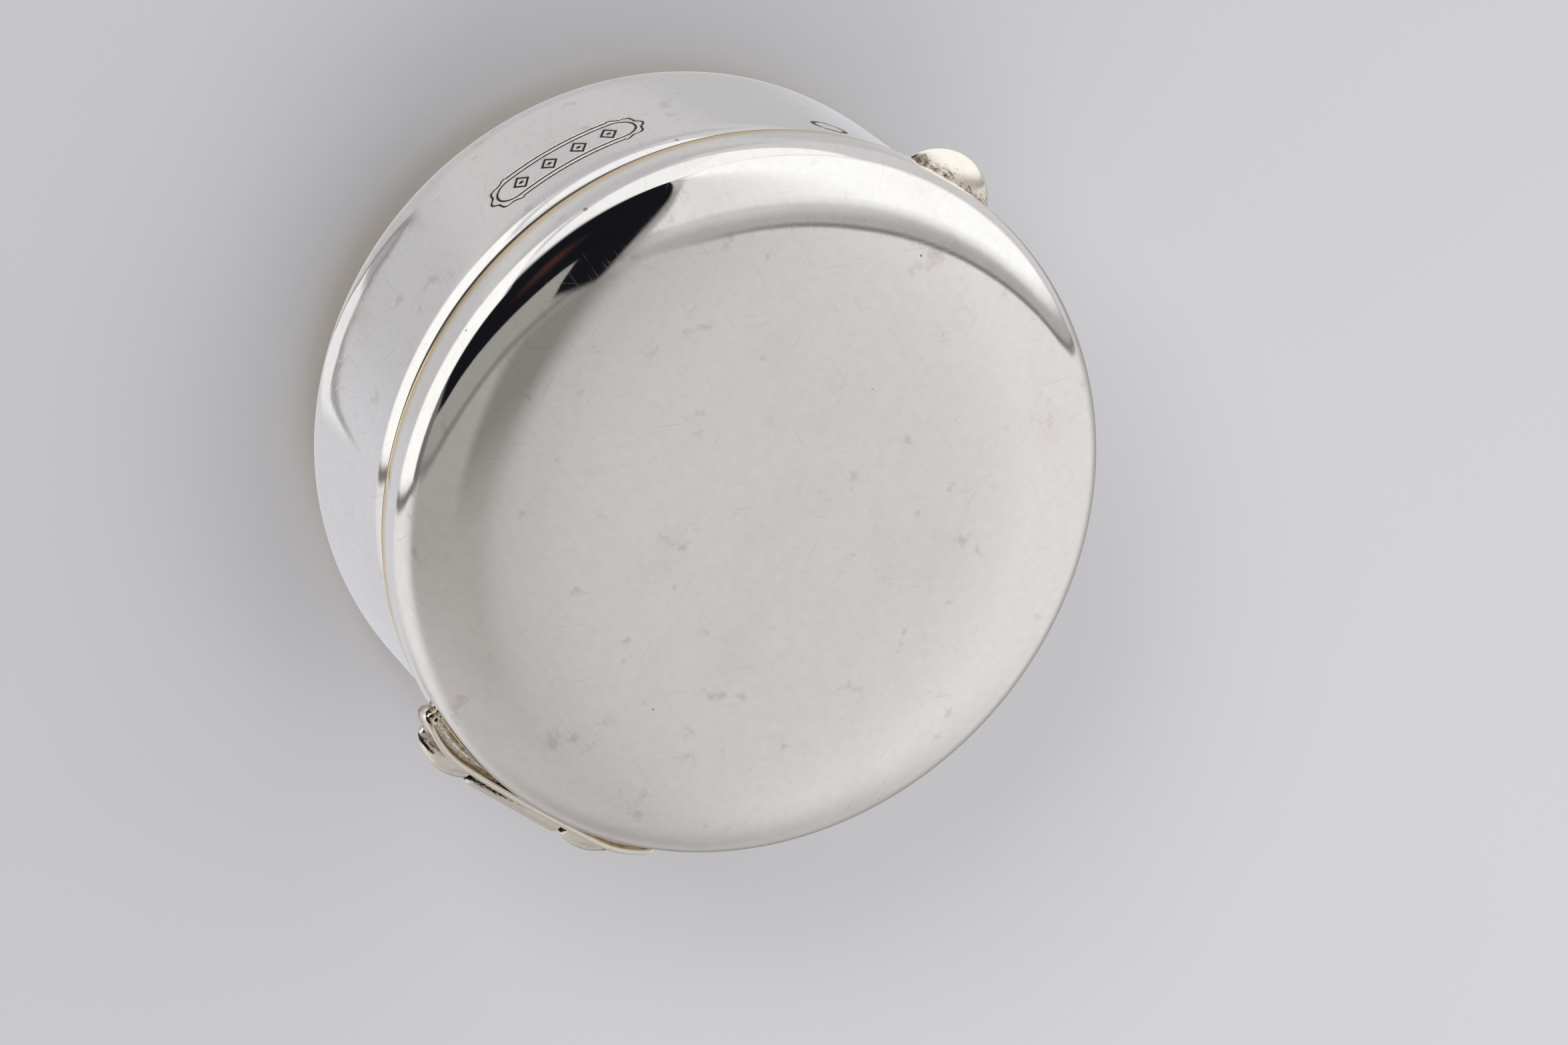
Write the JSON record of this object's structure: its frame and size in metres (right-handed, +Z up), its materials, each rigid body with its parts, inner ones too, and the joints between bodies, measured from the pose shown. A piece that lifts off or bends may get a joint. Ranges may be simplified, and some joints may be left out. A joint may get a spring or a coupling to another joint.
{
  "type": "pill box",
  "caption": "Small round silver pill box with a softly domed hinged lid, a decorated barrel hinge at the back and a half-round thumb tab at the front.",
  "frame": {"origin": "centre of the flat base", "axes": "+Z up through the lid, +Y towards the hinge at the back, thumb tab at -Y, +X along the hinge pin"},
  "size_m": [0.0382, 0.0408, 0.0203],
  "materials": {
    "polished_silver": "mirror polish with fine handling scratches",
    "cast_silver": "polished casting with dark tarnish in the recesses",
    "gilt_silver": "thin gold wash, satin",
    "hard_silver_wire": "drawn wire, tarnished"
  },
  "bodies": {
    "box": {"body_shell": "polished_silver", "inner_collar": "gilt_silver", "catch_nib": "gilt_silver", "body_hinge_leaf": "cast_silver", "centre_knuckle": "cast_silver"},
    "lid": {"lid_shell": "polished_silver", "lid_hinge_leaf": "cast_silver", "left_knuckle": "cast_silver", "right_knuckle": "cast_silver", "left_scroll_end": "cast_silver", "right_scroll_end": "cast_silver", "thumb_tab": "polished_silver", "hinge_pin": "hard_silver_wire"}
  },
  "joints": [
    {"name": "lid_hinge", "type": "hinge", "parent": "box", "child": "lid", "pos_m": [0, 0.01945, 0.01415], "axis": [-1, 0, 0], "range_deg": [0, 105]}
  ]
}
